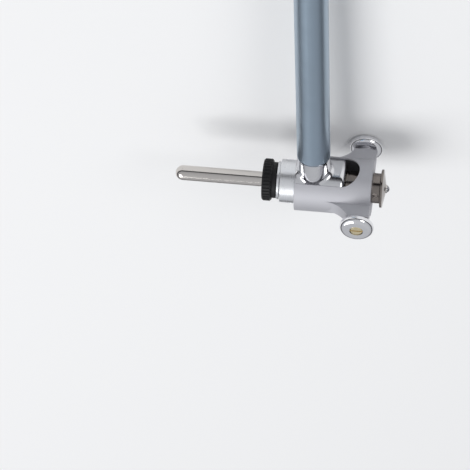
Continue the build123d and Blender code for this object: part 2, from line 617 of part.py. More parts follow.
def port_pocket(grow):
    """The curved slab on the rim that the data port's cover fills."""
    outer = BEZEL_R + 1 if grow else BEZEL_R
    shape = Circle(outer) - Circle(BEZEL_R - PORT_DEPTH - grow)
    low, high = math.radians(PORT_LOW), math.radians(PORT_HIGH)
    reach = 2 * BEZEL_R
    wedge = make_face(Polyline((0, 0), (reach * math.cos(low), reach * math.sin(low)),
                               (reach * math.cos(high), reach * math.sin(high)), close=True))
    shape = shape & wedge
    return front_slab(shape, -FACE_DEPTH + 2.0 - grow, BEZEL_BACK_Y - 1.0 + grow)


def port_cover():
    cover = port_pocket(0)
    angle = math.radians(PORT_LOW)
    cover -= along_y(1.0, -FACE_DEPTH, -FACE_DEPTH + 5.5, BEZEL_R * math.cos(angle),
                     DIAL_Z + BEZEL_R * math.sin(angle))
    return cover


def indicator_shell():
    back = BACK_DEPTH - COVER_PROUD
    inner = SHELL_R - SHELL_WALL
    shell = turned_y([(0, back), (SHELL_R - 1.5, back), (SHELL_R - 0.45, back - 0.45),
                      (SHELL_R, back - 1.5), (SHELL_R, BEZEL_BACK_Y),
                      (BEZEL_R - BEZEL_WALL - SEAT, BEZEL_BACK_Y),
                      (BEZEL_R - BEZEL_WALL - SEAT, BEZEL_BACK_Y - 2.4), (0, BEZEL_BACK_Y - 2.4)],
                     z=DIAL_Z)
    shell -= along_y(inner, BEZEL_BACK_Y - 3, back - COVER_THICK - 0.8, z=DIAL_Z)
    shell -= along_y(COVER_R - 2, back - 4, back + 1, z=DIAL_Z)
    shell -= along_y(COVER_R + SEAT, BACK_DEPTH - COVER_THICK, back + 1, z=DIAL_Z)
    for side in (-1, 1):
        flat = side * (SHELL_R - BOSS_SEAT)
        shell -= along_z(BOSS_R + SEAT, DIAL_Z + flat, DIAL_Z + flat + side * 3)
        shell -= along_z(STEM_R + SEAT, DIAL_Z + flat - side * 3, DIAL_Z + flat + side * 3)
    return shell


def indicator_back_cover():
    edge = 0.3
    cover = turned_y([(0, BACK_DEPTH - COVER_THICK), (COVER_R, BACK_DEPTH - COVER_THICK),
                      (COVER_R, BACK_DEPTH - edge), (COVER_R - edge, BACK_DEPTH), (0, BACK_DEPTH)],
                     z=DIAL_Z)
    for x, z in cover_screw_places():
        cover -= along_y(1.0 + SEAT, BACK_DEPTH - 3, BACK_DEPTH + 1, x, z)
        cover -= along_y(1.9, BACK_DEPTH - 0.8, BACK_DEPTH + 1, x, z)
    return cover


def cover_screw_places():
    for angle in (45, 135, 225, 315):
        yield (COVER_SCREW_PITCH_R * math.cos(math.radians(angle)),
               DIAL_Z + COVER_SCREW_PITCH_R * math.sin(math.radians(angle)))


def cover_screws():
    screws = []
    for x, z in cover_screw_places():
        screw = along_y(1.8, BACK_DEPTH - 0.8, BACK_DEPTH - 0.1, x, z)
        screw += along_y(1.0, BACK_DEPTH - COVER_THICK + 0.02, BACK_DEPTH - 0.5, x, z)
        screws.append((screw - Pos(x, BACK_DEPTH, z) * Box(3.2, 0.9, 0.5)).solid())
    return Compound(children=screws)


def face_plate():
    return front_slab(face_shape(-SEAT) - window_shape(SEAT), FACE_Y, FACE_Y + PLATE_THICK)


def display_window():
    return front_slab(window_shape(), FACE_Y + 0.1, FACE_Y + 0.1 + WINDOW_THICK)


def display_panel():
    return front_slab(window_shape(0.9), WALL_BACK_Y + GAP, WALL_BACK_Y + 1.7)


def circuit_board():
    return front_slab(Circle(BEZEL_R - BEZEL_WALL - 2.0), board_front(), board_front() + BOARD_THICK)


def board_front():
    return WALL_BACK_Y + BOARD_BEHIND


def button_middles():
    across = (SIDE_BUTTON_INNER + SIDE_BUTTON_OUTER) / 2 - 0.8
    side, middle = BUTTON_TOP - 3.6, BUTTON_TOP - POWER_HEIGHT / 2
    return {"button_unit": (-across, side), "button_power": (0.0, middle), "button_zero": (across, side)}


def switch_domes():
    domes = []
    for x, h in button_middles().values():
        dome = turned_y([(0, board_front() - 0.5), (1.4, board_front() - 0.5),
                         (2.4, board_front()), (0, board_front())], x=x, z=DIAL_Z + h)
        domes.append(dome.solid())
    return Compound(children=domes)


def button(name):
    cap = front_slab(button_shapes()[name], FACE_Y - BUTTON_PROUD, WALL_BACK_Y + 0.8)
    flange = front_slab(button_shapes(BUTTON_FLANGE)[name], WALL_BACK_Y + GAP, WALL_BACK_Y + 0.8)
    x, h = button_middles()[name]
    stem_end = board_front() - 0.5 - BUTTON_TRAVEL - GAP
    return cap + flange + along_y(1.2, WALL_BACK_Y + 0.5, stem_end, x, DIAL_Z + h)


def battery():
    start = board_front() + BOARD_THICK + 0.35
    return along_y(BATTERY_R, start, start + BATTERY_THICK, BATTERY_X, DIAL_Z + BATTERY_HEIGHT)


def battery_clip():
    start = board_front() + BOARD_THICK
    left, right = BATTERY_X - BATTERY_R - 1.6, BATTERY_X + BATTERY_R + 1.6
    low, high = DIAL_Z + BATTERY_HEIGHT - 2.0, DIAL_Z + BATTERY_HEIGHT + 2.0
    inner, outer = start + BATTERY_THICK + 0.5, start + BATTERY_THICK + 0.8
    clip = block(left, right, inner, outer, low, high)
    clip += block(right - 0.3, right, start, outer, low, high)
    return clip + block(left, left + 0.3, start, outer, low, high)


def indicator_stem():
    """The stem, and the ring round it that sits in the shell's seat."""
    stem = along_z(STEM_R, STEM_BOTTOM, DIAL_Z - SHELL_R + STEM_SEAT)
    stem = chamfer(stem.edges().filter_by(GeomType.CIRCLE).sort_by(Axis.Z)[0], 0.4)
    stem -= along_z(SPINDLE_R + RUN, STEM_BOTTOM - 1, DIAL_Z)
    low, high = HOLDER_TOP + RING_GAP, DIAL_Z - SHELL_R + BOSS_SEAT
    ring = along_z(BOSS_R, low, high) - along_z(STEM_R + SEAT, low - 1, high + 1)
    return Compound(children=[stem.solid(), ring.solid()])


def spindle():
    rod = along_z(SPINDLE_R, SPINDLE_BOTTOM, DIAL_Z + SPINDLE_ABOVE)
    return chamfer(rod.edges().filter_by(GeomType.CIRCLE).sort_by(Axis.Z)[-1], 0.4)


def spindle_tip():
    ball_r = 1.0
    tip_z = ROD_TOP + GAP
    body = turned_z([(0, tip_z + ball_r), (1.1, tip_z + ball_r), (2.4, tip_z + 3.0),
                     (2.4, SPINDLE_BOTTOM), (0, SPINDLE_BOTTOM)])
    return body + Pos(0, 0, tip_z + ball_r) * Sphere(ball_r)


def spindle_slider():
    body = block(-SLIDER_WIDTH / 2, SLIDER_WIDTH / 2, -SLIDER_DEPTH, SLIDER_DEPTH,
                 DIAL_Z - SLIDER_HALF, DIAL_Z + SLIDER_HALF)
    return body - along_z(SPINDLE_R + SEAT, DIAL_Z - SLIDER_HALF - 1, DIAL_Z + SLIDER_HALF + 1)


def scale_strip():
    return block(-STRIP_WIDTH / 2, STRIP_WIDTH / 2, -SLIDER_DEPTH - STRIP_THICK, -SLIDER_DEPTH,
                 DIAL_Z - STRIP_HALF, DIAL_Z + STRIP_HALF)


def spindle_bush():
    low = DIAL_Z + SHELL_R - STEM_SEAT
    top = DIAL_Z + SHELL_R + BUSH_PROUD
    bush = along_z(STEM_R, low, top)
    bush += along_z(BOSS_R, DIAL_Z + SHELL_R - BOSS_SEAT, top)
    return bush - along_z(SPINDLE_R + RUN, low - 1, top + 1)


def spindle_spring():
    clear = SPINDLE_SPRING_WIRE + 0.15
    start = DIAL_Z + SLIDER_HALF + clear
    length = DIAL_Z + SHELL_R - STEM_SEAT - clear - start
    return Pos(0, 0, start) * coil(SPINDLE_SPRING_R, SPINDLE_SPRING_WIRE, length, SPINDLE_SPRING_TURNS)


def top_cap():
    start = DIAL_Z + SHELL_R + BUSH_PROUD
    edge = 0.7
    cap = turned_z([(0, start), (CAP_R, start), (CAP_R, start + CAP_LENGTH - edge),
                    (CAP_R - edge, start + CAP_LENGTH), (0, start + CAP_LENGTH)])
    return cap - along_z(CAP_R - CAP_WALL, start - 1, start + CAP_LENGTH - 1.5)


# The gauge on its back
def rest_tilt():
    """The lean that lets the back wheel and the cover's far edge touch one flat surface."""
    drop = WHEEL_OFFSET - BACK_DEPTH
    run = DIAL_Z + COVER_R - (WHEEL_R - WHEEL_RIM_R)
    reach = math.hypot(drop, run)
    return math.degrees(math.acos(-WHEEL_RIM_R / reach) - math.atan2(run, drop))


def all_parts():
    parts = {
        "head_body": head_body(), "anvil_collar": anvil_collar(), "anvil_washer": anvil_washer(),
        "anvil_lock_nut": anvil_lock_nut(), "anvil_rod": anvil_rod(),
        "centering_bridge": centering_bridge(), "bridge_springs": bridge_springs(),
        "bridge_stop_screw": bridge_stop_screw(), "contact_guide": contact_guide(),
        "contact_cap_nut": contact_cap_nut(), "contact_plunger": contact_plunger(),
        "contact_ball": contact_ball(), "rocker": rocker(), "rocker_pin": rocker_pin(),
        "push_rod": push_rod(), "rod_guide_lower": rod_guide_lower(),
        "rod_guide_upper": rod_guide_upper(), "rod_spring": rod_spring(), "tube": tube(),
        "handle": handle(), "stem_holder": stem_holder(), "clamp_screw": clamp_screw(),
        "clamp_knob": clamp_knob(), "indicator_stem": indicator_stem(),
        "indicator_bezel": indicator_bezel(), "indicator_shell": indicator_shell(),
        "indicator_back_cover": indicator_back_cover(), "cover_screws": cover_screws(),
        "face_plate": face_plate(), "display_window": display_window(),
        "display_panel": display_panel(), "circuit_board": circuit_board(),
        "switch_domes": switch_domes(), "port_cover": port_cover(), "battery": battery(),
        "battery_clip": battery_clip(), "spindle": spindle(), "spindle_tip": spindle_tip(),
        "spindle_slider": spindle_slider(), "scale_strip": scale_strip(),
        "spindle_bush": spindle_bush(), "spindle_spring": spindle_spring(), "top_cap": top_cap(),
    }
    for side, name in ((-1, "front"), (1, "back")):
        parts[f"wheel_{name}"] = wheel(side)
        parts[f"wheel_screw_{name}"] = wheel_screw(side)
    for name in button_middles():
        parts[name] = button(name)
    return parts


def lay_down(parts):
    """Lays the gauge with its display up, tube along +Y, on the XY plane, centred on its box."""
    turn = Rot(-90 - rest_tilt(), 0, 0)
    laid = {name: turn * part for name, part in parts.items()}
    boxes = [part.bounding_box() for part in laid.values()]
    middle = [(min(getattr(b.min, a) for b in boxes) + max(getattr(b.max, a) for b in boxes)) / 2
              for a in ("X", "Y")]
    floor = min(b.min.Z for b in boxes)
    shift = Pos(-middle[0], -middle[1], -floor)
    print("tilt", rest_tilt(), "shift", -middle[0], -middle[1], -floor)
    return {name: shift * part for name, part in laid.items()}


os.makedirs("parts", exist_ok=True)
for node, solid in lay_down(all_parts()).items():
    export_step(solid, f"parts/{node}.step")
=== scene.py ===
# %% [markdown]
# # A dial bore gauge with a digital indicator
# This gauge measures the inside of a bore. A sliding contact and a fixed anvil stand at the foot
# of a long tube, a crank and a rod carry the contact's movement up the tube, and a digital
# indicator at the top shows it. The solids come in ready made and stay where they are. What is
# left to do here is what a maker calls the finish: the brushing, blasting and blacking of the
# metals, the print on the dial, the figures in the display, and the light to see them by.

# %% Load the gauge
import math

import bpy
from mathutils import Matrix, Vector


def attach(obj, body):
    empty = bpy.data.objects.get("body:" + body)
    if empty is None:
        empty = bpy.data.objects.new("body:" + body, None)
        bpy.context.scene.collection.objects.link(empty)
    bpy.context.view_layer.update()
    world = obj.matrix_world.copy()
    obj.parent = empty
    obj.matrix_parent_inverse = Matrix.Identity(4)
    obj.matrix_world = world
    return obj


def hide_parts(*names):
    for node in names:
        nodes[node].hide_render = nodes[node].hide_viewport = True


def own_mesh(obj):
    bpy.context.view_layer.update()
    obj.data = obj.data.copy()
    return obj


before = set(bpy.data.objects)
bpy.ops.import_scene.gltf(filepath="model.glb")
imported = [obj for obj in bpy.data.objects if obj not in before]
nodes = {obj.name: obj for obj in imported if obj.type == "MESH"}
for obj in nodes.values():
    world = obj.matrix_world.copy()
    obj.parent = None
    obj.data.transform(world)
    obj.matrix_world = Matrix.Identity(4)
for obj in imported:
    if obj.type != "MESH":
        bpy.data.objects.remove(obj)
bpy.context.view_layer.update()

print("parts loaded:", len(nodes))

# %% [markdown]
# ## Where things are
# A drawing of this gauge has it upright: X along the measuring axis, Z up the tube, and the
# display facing -Y. On the table it lies on its back, turned a little more than a quarter turn,
# because the back wheel and the back cover touch the table and are not equally deep. It is easier
# to think in the drawing's millimetres, so one matrix carries them onto the table. Every new piece
# and every pattern that follows the tube or the measuring axis goes through it.

# %% From drawing to table
MM = 0.001
LEAN = 2.2851735            # degrees past a quarter turn, from wheel to back cover
CROSSING = Vector((10.75, -170.8317, 19.9572))   # where the tube meets the measuring axis, in mm

on_table = Matrix.Translation(CROSSING * MM) @ Matrix.Rotation(math.radians(-90 - LEAN), 4, "X")


def spot(x, y, z):
    """A point of the drawing, in millimetres, as a place on the table in metres."""
    return on_table @ (Vector((x, y, z)) * MM)


print("anvil tip is at", [round(1000 * v, 1) for v in spot(-50.5, 0, 0)], "mm")

# %% [markdown]
# ## The camera
# A product picture of a gauge like this is taken with a long lens from far away, so that the
# two wheels look the same size and the tube hardly narrows. The camera could be aimed by hand,
# but here it is worked out: it looks at a point beside the head from 54 degrees above the
# measuring axis, a little from the contact's side, and it is rolled slightly. Its up is the
# drawing's up, so the tube leaves the picture at the top.

# %% Set up the camera
VIEW_RISE = math.radians(54.4)      # above the plane across the tube
VIEW_SIDE = math.radians(8.74)      # round towards the moving contact
VIEW_ROLL = math.radians(-2.43)
VIEW_DISTANCE = 1583.0              # mm
VIEW_AIM = (-29.4, -17.5)           # mm to the right of and above the crossing
PICTURE = 470                       # pixels along each side
FOCAL_PIXELS = 4378.0
SENSOR = 36.0                       # mm
SIGHT = 20.0                        # m, farther than anything in the scene

towards_camera = Vector((math.cos(VIEW_RISE) * math.sin(VIEW_SIDE),
                         -math.cos(VIEW_RISE) * math.cos(VIEW_SIDE), math.sin(VIEW_RISE)))
level_up = Vector((-math.sin(VIEW_RISE) * math.sin(VIEW_SIDE),
                   math.sin(VIEW_RISE) * math.cos(VIEW_SIDE), math.cos(VIEW_RISE)))
level_right = level_up.cross(towards_camera)
right = math.cos(VIEW_ROLL) * level_right + math.sin(VIEW_ROLL) * level_up
up = math.cos(VIEW_ROLL) * level_up - math.sin(VIEW_ROLL) * level_right
aim = VIEW_AIM[0] * level_right + VIEW_AIM[1] * level_up
stand = Matrix((right, up, towards_camera)).transposed().to_4x4()
stand.translation = (aim + VIEW_DISTANCE * towards_camera) * MM

camera = bpy.data.objects.new("camera", bpy.data.cameras.new("camera"))
bpy.context.collection.objects.link(camera)
camera.matrix_world = on_table @ stand
camera.data.sensor_width = SENSOR
camera.data.lens = FOCAL_PIXELS / PICTURE * SENSOR
camera.data.clip_end = SIGHT
bpy.context.scene.camera = camera
print("lens in mm:", round(camera.data.lens))
print("camera at", [round(v, 2) for v in camera.matrix_world.translation])

# %% [markdown]
# ## Table and light
# Bare metal has hardly a colour of its own: what we see on it is the room. A turned barrel looks
# round only when it mirrors a pale table on one side, a grey room in the middle and a lamp
# somewhere else. So the room is grey, the table is pale and matt, and two large soft lamps hang
# over it. They are kept weak, so that the table stays just short of white and the metal on it
# still has brighter spots than its ground.

# %% Lay the table and hang the lamps
TABLE_SIDE = 8.0                    # m
LAMP_TARGET = Vector((0, -0.1, 0))  # m, on the head's side of the gauge's middle

scene = bpy.context.scene
scene.view_settings.view_transform = "Standard"

bpy.ops.object.select_all(action="DESELECT")
bpy.ops.mesh.primitive_plane_add(size=TABLE_SIDE, location=(0, 0, 0))
table = bpy.context.object
table.name = "table"


def soft_lamp(name, place, size, power):
    """A square area lamp, in metres and watts, that shines from its place at the gauge."""
    lamp = bpy.data.objects.new(name, bpy.data.lights.new(name, "AREA"))
    bpy.context.collection.objects.link(lamp)
    lamp.data.shape = "SQUARE"
    lamp.data.size = size
    lamp.data.energy = power
    lamp.location = place
    lamp.rotation_mode = "QUATERNION"
    lamp.rotation_quaternion = (LAMP_TARGET - Vector(place)).to_track_quat("-Z", "Y")


soft_lamp("lamp_over", (-0.7, -0.3, 1.3), size=0.9, power=13.5)
soft_lamp("lamp_tube_end", (0.9, 0.9, 0.8), size=0.6, power=5.5)

# %% [markdown]
# ## Shader maths as arithmetic
# A finish is a small sum: take a grain, weaken it, add it to a roughness. Wiring Math nodes by
# hand hides that sum, so a socket is wrapped in a class that knows plus and times. Each sign adds
# one Math node.

# %% A socket that can be added and multiplied
class Signal:
    """One value on its way through a material."""

    def __init__(self, finish, socket):
        self.finish, self.socket = finish, socket

    def _math(self, operation, first, second):
        return self.finish.node("ShaderNodeMath", {"operation": operation}, {0: first, 1: second})

    def __add__(self, other):
        return self._math("ADD", self, other)

    def __mul__(self, other):
        return self._math("MULTIPLY", self, other)

# %% [markdown]
# ## One method for every node
# Whatever node a finish needs, its settings have to be made before its sockets are filled,
# because some settings change which sockets there are. One method does both in that order.

# %% Adding nodes to a tree
class Wiring:
    """A node tree and one way to add any node to it."""

    def __init__(self, tree):
        self.tree = tree

    def node(self, kind, settings, values, output=0):
        """Adds a node: its settings first, then the values or links of its sockets."""
        made = self.tree.nodes.new(kind)
        for key, value in settings.items():
            if key == "stops":
                fill_ramp(made.color_ramp, value)
            else:
                setattr(made, key, value)
        for key, value in values.items():
            self.feed(made.inputs[key], value)
        return Signal(self, made.outputs[output])

    def feed(self, socket, value):
        """Links a signal to a socket, or sets the socket's value. A colour gets its alpha here."""
        if isinstance(value, Signal):
            self.tree.links.new(value.socket, socket)
        elif hasattr(socket.default_value, "__len__") and len(value) < len(socket.default_value):
            socket.default_value = (*value, 1.0)
        else:
            socket.default_value = value


def fill_ramp(ramp, stops):
    """Sets a ramp's colours, each stop being its place and its colour."""
    while len(ramp.elements) < len(stops):
        ramp.elements.new(0.5)
    for element, (place, colour) in zip(ramp.elements, stops):
        element.position, element.color = place, (*colour, 1.0)

# %% [markdown]
# ## The room that the metal mirrors
# Chrome in an evenly lit room looks like paint. In a studio the walls are dark near the table
# and the ceiling is pale, and each turned piece mirrors that as a dark line between two
# light ones. A ramp on the height of the view direction makes such a room.

# %% Build the room
room = bpy.data.worlds.new("room")
scene.world = room
room.use_nodes = True
walls = Wiring(room.node_tree)
direction = walls.node("ShaderNodeTexCoord", {}, {}, "Generated")
height = walls.node("ShaderNodeSeparateXYZ", {}, {"Vector": direction}, "Z")
WALL_SHADES = [(0.0, (0.02, 0.02, 0.022)), (0.13, (0.035, 0.035, 0.038)),
               (0.24, (0.16, 0.16, 0.17)), (0.36, (0.47, 0.48, 0.50)),
               (0.7, (0.55, 0.56, 0.58)), (1.0, (0.58, 0.59, 0.61))]
shade = walls.node("ShaderNodeValToRGB", {"stops": WALL_SHADES}, {"Fac": height})
walls.feed(room.node_tree.nodes["Background"].inputs["Color"], shade)

# %% [markdown]
# ## One finish, one material
# Every finish starts from the Principled shader. Patterns are placed by Object coordinates,
# because all the parts keep their objects at the origin. One Mapping node turns those
# coordinates back to the drawing's directions, so that brushing can run along the
# measuring axis or along the tube.

# %% A material as a Finish
class Finish(Wiring):
    """A material with a Principled shader, and the few patterns that the finishes share."""

    def __init__(self, name, colour, roughness, metallic=0.0):
        self.material = bpy.data.materials.new(name)
        self.material.use_nodes = True
        super().__init__(self.material.node_tree)
        self.shader = self.tree.nodes["Principled BSDF"]
        self.set("Base Color", colour)
        self.set("Roughness", roughness)
        self.set("Metallic", metallic)
        coordinates = self.node("ShaderNodeTexCoord", {}, {}, "Object")
        self.drawn = self.node("ShaderNodeMapping", {"vector_type": "TEXTURE"},
                               {"Vector": coordinates, "Location": tuple(CROSSING * MM),
                                "Rotation": (math.radians(-90 - LEAN), 0, 0)})

    def set(self, socket, value):
        self.feed(self.shader.inputs[socket], value)

    def noise(self, stretch, detail=3.0):
        """Grain from 0 to 1. stretch is the grains to a millimetre, along X, Y and Z."""
        to_metres = tuple(grains / MM for grains in stretch)
        scaled = self.node("ShaderNodeMapping", {}, {"Vector": self.drawn, "Scale": to_metres})
        return self.node("ShaderNodeTexNoise", {},
                         {"Vector": scaled, "Scale": 1.0, "Detail": detail})

    def bump(self, height, depth):
        """Turns a grain into relief, depth in millimetres."""
        self.set("Normal", self.node("ShaderNodeBump", {},
                                     {"Height": height, "Strength": 1.0, "Distance": depth * MM}))

    def tint(self, mask, low, high):
        """Base colour between low and high, as the mask says."""
        self.set("Base Color", self.node("ShaderNodeMix", {"data_type": "RGBA"},
                                         {"Factor": mask, 6: low, 7: high}, 2))


def dress(finish, *names):
    """Puts a finish on CAD nodes."""
    for name in names:
        for slot in nodes[name].material_slots:
            slot.material = finish.material
    print(finish.material.name, "on", ", ".join(names))

# %% [markdown]
# ## The table's paint
# The first finish is the plainest: one colour, and a roughness that leaves no reflection.

# %% Paint the table
paint = Finish("table_paint", (0.80, 0.80, 0.80), 0.9)
table.data.materials.append(paint.material)

# %% [markdown]
# ## Turned and plated metal
# The barrel, the collar and the guide were turned on a lathe, so very fine rings run round
# them, and the plating over those is almost a mirror. A noise that is squeezed along
# the axis and stretched round it gives the rings. It changes the roughness most, the relief
# hardly, and a second, broad noise keeps the plating from looking perfectly even.

# %% Metals that were turned round the measuring axis
RINGS_X = (14.0, 0.2, 0.2)          # grains to a millimetre along X, Y and Z
CLOUDS = (0.22, 0.22, 0.22)
CLOUDING = 0.08                     # how much the clouds change the roughness
SHADED = 0.92                       # the darker of a metal's two colours, as a share of the other


def metal(name, colour, roughness, stretch, spread=0.1, depth=0.002, shine=1.0):
    """A metal whose tool marks follow stretch. spread is how much they change the roughness, and
    a shine under 1 is a blasted or lacquered skin, which also scatters some light."""
    finish = Finish(name, colour, roughness, metallic=shine)
    marks = finish.noise(stretch, detail=2.0)
    clouds = finish.noise(CLOUDS)
    smoothest = roughness - (spread + CLOUDING) / 2
    finish.set("Roughness", marks * spread + clouds * CLOUDING + smoothest)
    finish.tint(marks * 0.5 + clouds * 0.5, tuple(SHADED * c for c in colour), colour)
    finish.bump(marks, depth)
    return finish


dress(metal("chromed_head", (0.80, 0.80, 0.82), 0.12, RINGS_X), "head_body")
dress(metal("collar_steel", (0.86, 0.87, 0.89), 0.30, RINGS_X, spread=0.16),
      "anvil_collar", "anvil_washer")
dress(metal("ground_steel", (0.67, 0.64, 0.61), 0.12, (6.0, 0.3, 0.3)),
      "anvil_rod", "contact_plunger", "rocker", "rocker_pin")
# The guide and its cap nut are darker than bare nickel: partly the plating's own tone, partly
# painted shade.
dress(metal("nickel_and_painted_shade", (0.27, 0.24, 0.22), 0.12, RINGS_X), "contact_guide", "contact_cap_nut")
dress(metal("carbide", (0.34, 0.34, 0.36), 0.10, (1.0, 1.0, 1.0)), "contact_ball")

# %% [markdown]
# ## The blasted bridge and its bright wheels
# The bridge is cast and blasted before it is plated, so it has a fine, even tooth in
# every direction and spreads the light. Its wheels are polished, because they roll on the
# bore, and the screws they turn on have kept the yellow of their passivation.

# %% Bridge, wheels and screws
BLAST = (7.0, 7.0, 7.0)
POLISH = (0.5, 0.5, 0.5)
SCREW_RINGS = (2.0, 9.0, 2.0)
dress(metal("blasted_bridge", (0.50, 0.50, 0.53), 0.56, BLAST, depth=0.006, shine=0.55),
      "centering_bridge")
dress(metal("polished_wheel", (0.86, 0.86, 0.88), 0.09, POLISH, spread=0.05),
      "wheel_front", "wheel_back")
dress(metal("yellow_screw", (0.86, 0.74, 0.48), 0.24, SCREW_RINGS),
      "wheel_screw_front", "wheel_screw_back")

# %% [markdown]
# ## The drawn tube
# A tube is drawn through a die, which leaves scratches along its length, and it is then anodised to
# a satin silver. Its blue-grey colour here is a painted reflection of a blue room. The same noise
# does for it, stretched the other way.

# %% Metals with marks along the tube
DRAWN_Z = (4.0, 4.0, 0.02)
RINGS_Z = (0.3, 0.3, 9.0)
# The tube's blue tint is a painted reflection; the tube itself is satin silver.
dress(metal("drawn_tube_painted_blue", (0.38, 0.47, 0.56), 0.35, DRAWN_Z, spread=0.12), "tube")
dress(metal("holder_chrome", (0.80, 0.79, 0.77), 0.10, RINGS_Z), "stem_holder", "indicator_stem")
dress(metal("rod_steel", (0.62, 0.61, 0.60), 0.24, DRAWN_Z),
      "push_rod", "spindle", "spindle_tip", "spindle_slider", "spindle_bush")
dress(metal("bush_brass", (0.78, 0.60, 0.30), 0.26, RINGS_Z),
      "rod_guide_lower", "rod_guide_upper", "switch_domes")
drawn_wire = metal("drawn_wire", (0.50, 0.50, 0.51), 0.28, (2.0, 2.0, 2.0))
dress(drawn_wire, "bridge_stop_screw", "cover_screws", "clamp_screw", "battery_clip")
dress(metal("shell_satin", (0.74, 0.74, 0.76), 0.40, (0.3, 9.0, 0.3), spread=0.14),
      "indicator_shell", "indicator_back_cover")
dress(metal("battery_can", (0.70, 0.70, 0.70), 0.25, (1.0, 1.0, 1.0)), "battery")

# %% [markdown]
# ## Blacks
# Nothing moulded is truly black. The nut is blackened steel with a dull oil sheen, the bezel and
# the knob are plastic with a spark-eroded skin, and the grip is softer and greyer. What tells them
# apart is the size of the skin's grain and how much of the room they mirror.

# %% Moulded and blackened pieces
WEAR = (0.12, 0.12, 0.12)
SKIN_SPREAD, WEAR_SPREAD = 0.10, 0.12   # how much the skin and the wear change the roughness
PALE, DEEP = 1.2, 0.8                   # a worn and an unworn place, as shares of the colour
GLOSS = 0.3                             # what a skin mirrors, where bare plastic has 0.5


def moulded(name, colour, roughness, grain, depth=0.012):
    """A moulded skin: grain is how many of its bumps there are to a millimetre."""
    finish = Finish(name, colour, roughness)
    skin = finish.noise((grain, grain, grain), detail=4.0)
    worn = finish.noise(WEAR)
    smoothest = roughness - (SKIN_SPREAD + WEAR_SPREAD) / 2
    finish.set("Roughness", skin * SKIN_SPREAD + worn * WEAR_SPREAD + smoothest)
    finish.tint(worn, tuple(DEEP * c for c in colour), tuple(PALE * c for c in colour))
    finish.bump(skin, depth)
    finish.set("Specular IOR Level", GLOSS)
    return finish


dress(moulded("black_nut", (0.006, 0.006, 0.007), 0.50, 6.0), "anvil_lock_nut")
dress(moulded("knob_plastic", (0.008, 0.007, 0.007), 0.42, 3.0), "clamp_knob")
dress(moulded("bezel_plastic", (0.007, 0.007, 0.009), 0.46, 3.5),
      "indicator_bezel", "port_cover", "top_cap")
dress(moulded("button_rubber", (0.010, 0.010, 0.013), 0.55, 5.0),
      "button_unit", "button_power", "button_zero")
dress(moulded("grip_plastic", (0.040, 0.041, 0.044), 0.58, 2.2, depth=0.03), "handle")
dress(moulded("board_mask", (0.02, 0.13, 0.06), 0.42, 1.5, depth=0.004),
      "circuit_board", "scale_strip")

# %% [markdown]
# ## The face of the indicator
# The dial carries a thin champagne plate, and below it the display. The plate is brushed from
# side to side. The display is a greenish grey film behind a clear window, and its left is painted
# darker and warmer, as painted shade. The film and the figures lie under the window and must be
# seen through it, so the window is made mostly see-through instead of being real refracting glass,
# which would throw a dark shadow on them.

# %% Plate, film and window
BRUSHED_X = (0.1, 9.0, 9.0)
# The darker, warmer left of the film is painted shade: full left of the first number, gone right of
# the second.
PAINTED_SHADE_FULL, PAINTED_SHADE_GONE = -0.019, -0.004   # across the display, in metres from its middle

dress(metal("champagne_plate", (0.37, 0.355, 0.33), 0.42, BRUSHED_X, spread=0.14, shine=0.5),
      "face_plate")

film = moulded("display_film", (0.40, 0.43, 0.36), 0.45, 1.0, depth=0.0)
across = film.node("ShaderNodeSeparateXYZ", {}, {"Vector": film.drawn}, "X")
painted_shade_fade = film.node("ShaderNodeMapRange", {"interpolation_type": "SMOOTHSTEP"},
                   {"Value": across, "From Min": PAINTED_SHADE_FULL, "From Max": PAINTED_SHADE_GONE})
# The film's own greenish grey darkens and warms towards its left: painted shade.
film.tint(painted_shade_fade, (0.24, 0.235, 0.18), (0.42, 0.46, 0.38))
dress(film, "display_panel")

window = Finish("window_glass", (0.60, 0.64, 0.60), 0.06)
window.set("Alpha", 0.06)
dress(window, "display_window")

# %% [markdown]
# ## Drawing on the dial
# Print and figures are flat, so they are easiest to make on a sheet that lies on the ground and
# to carry to the dial when they are done. The sheet's X is the dial's width, its Y the dial's
# height, and its Z comes out of the dial. The place goes into the mesh and not
# into the object, so that the pieces behave as the solids do.

# %% Carry flat work to the dial
DIAL_HEIGHT = 300.6                 # the dial's centre above the measuring axis, in mm
FACE = -15.7                        # the plate's front
BUTTON_FACE = -15.95
FILM = -13.85                       # the display film's front
UPRIGHT = Matrix.Rotation(math.radians(90), 4, "X")


def dial_sheet(front):
    """Carries a sheet drawn in millimetres to the dial, at that depth."""
    return (on_table @ Matrix.Translation((0, front * MM, DIAL_HEIGHT * MM))
            @ UPRIGHT @ Matrix.Scale(MM, 4))


def only(piece):
    """Makes piece the one that is selected and active."""
    bpy.ops.object.select_all(action="DESELECT")
    piece.select_set(True)
    bpy.context.view_layer.objects.active = piece


def settle(piece, name, place, finish, body):
    """Puts a finished piece at its place, in its finish and on its body."""
    only(piece)
    if piece.type != "MESH":
        bpy.ops.object.convert(target="MESH")
        piece = bpy.context.object
    piece.data.transform(place @ piece.matrix_world)
    piece.matrix_world = Matrix.Identity(4)
    piece.name = name
    piece.data.materials.clear()
    piece.data.materials.append(finish.material)
    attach(piece, body)
    return piece

# %% [markdown]
# ## Coil springs
# The bridge, the rod and the spindle are each pushed back by coil springs. A coil is a small
# circle of wire carried round an axis while it climbs, which is what the Screw modifier does, so
# nothing has to be drawn point by point. The springs among the solids cannot shorten. They are
# hidden, and these coils stand in for them.

# %% Wind the springs
ONTO_X = Matrix.Rotation(math.radians(90), 4, "Y")
WIRE_SIDES, STEPS_A_TURN = 8, 28
SMOOTH_UNDER = math.radians(50)     # the wire's ends stay sharp


